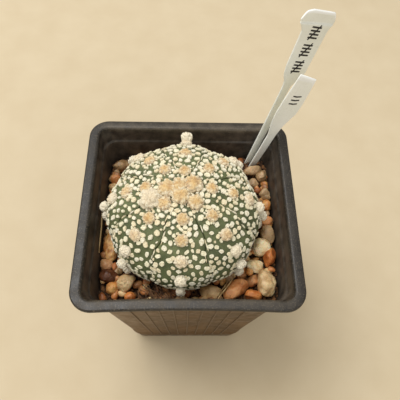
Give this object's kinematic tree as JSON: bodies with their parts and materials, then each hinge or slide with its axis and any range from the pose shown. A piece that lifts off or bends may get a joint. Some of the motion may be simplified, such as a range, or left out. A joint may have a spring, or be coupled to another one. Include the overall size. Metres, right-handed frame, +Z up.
{
  "type": "potted star cactus",
  "caption": "Flat-domed ribbed star cactus with white woolly flecks, growing in gravel in a square black plastic pot with plant labels.",
  "frame": {"origin": "centre of the pot's foot, on the surface that it stands on", "axes": "+Z up, +Y to the back of the pot, where the labels lean out, +X to its right"},
  "size_m": [0.0784, 0.0767, 0.1212],
  "materials": {
    "pot_plastic": "thin black polypropylene, satin inside and out, rim dulled and scuffed to dark grey",
    "potting_mix": "dark crumbly mineral potting mix",
    "gravel_stone": "water-worn gravel in orange, tan, cream and red-brown, damp sheen on some stones",
    "cactus_skin": "matte grey-green skin with raised cream-white woolly flecks",
    "cactus_wool": "felted wool pads, peach at the crown and nearly white low on the ribs",
    "fleck_wool": "short cream-white felted flecks",
    "label_plastic": "off-white polystyrene, satin",
    "label_ink": "black permanent pen",
    "dry_straw": "dry grass stems and root fibres"
  },
  "bodies": {
    "root": {"pot": "pot_plastic", "substrate": "potting_mix", "gravel": "gravel_stone", "cactus": "cactus_skin", "label_tall": "label_plastic", "label_short": "label_plastic"}
  },
  "joints": []
}
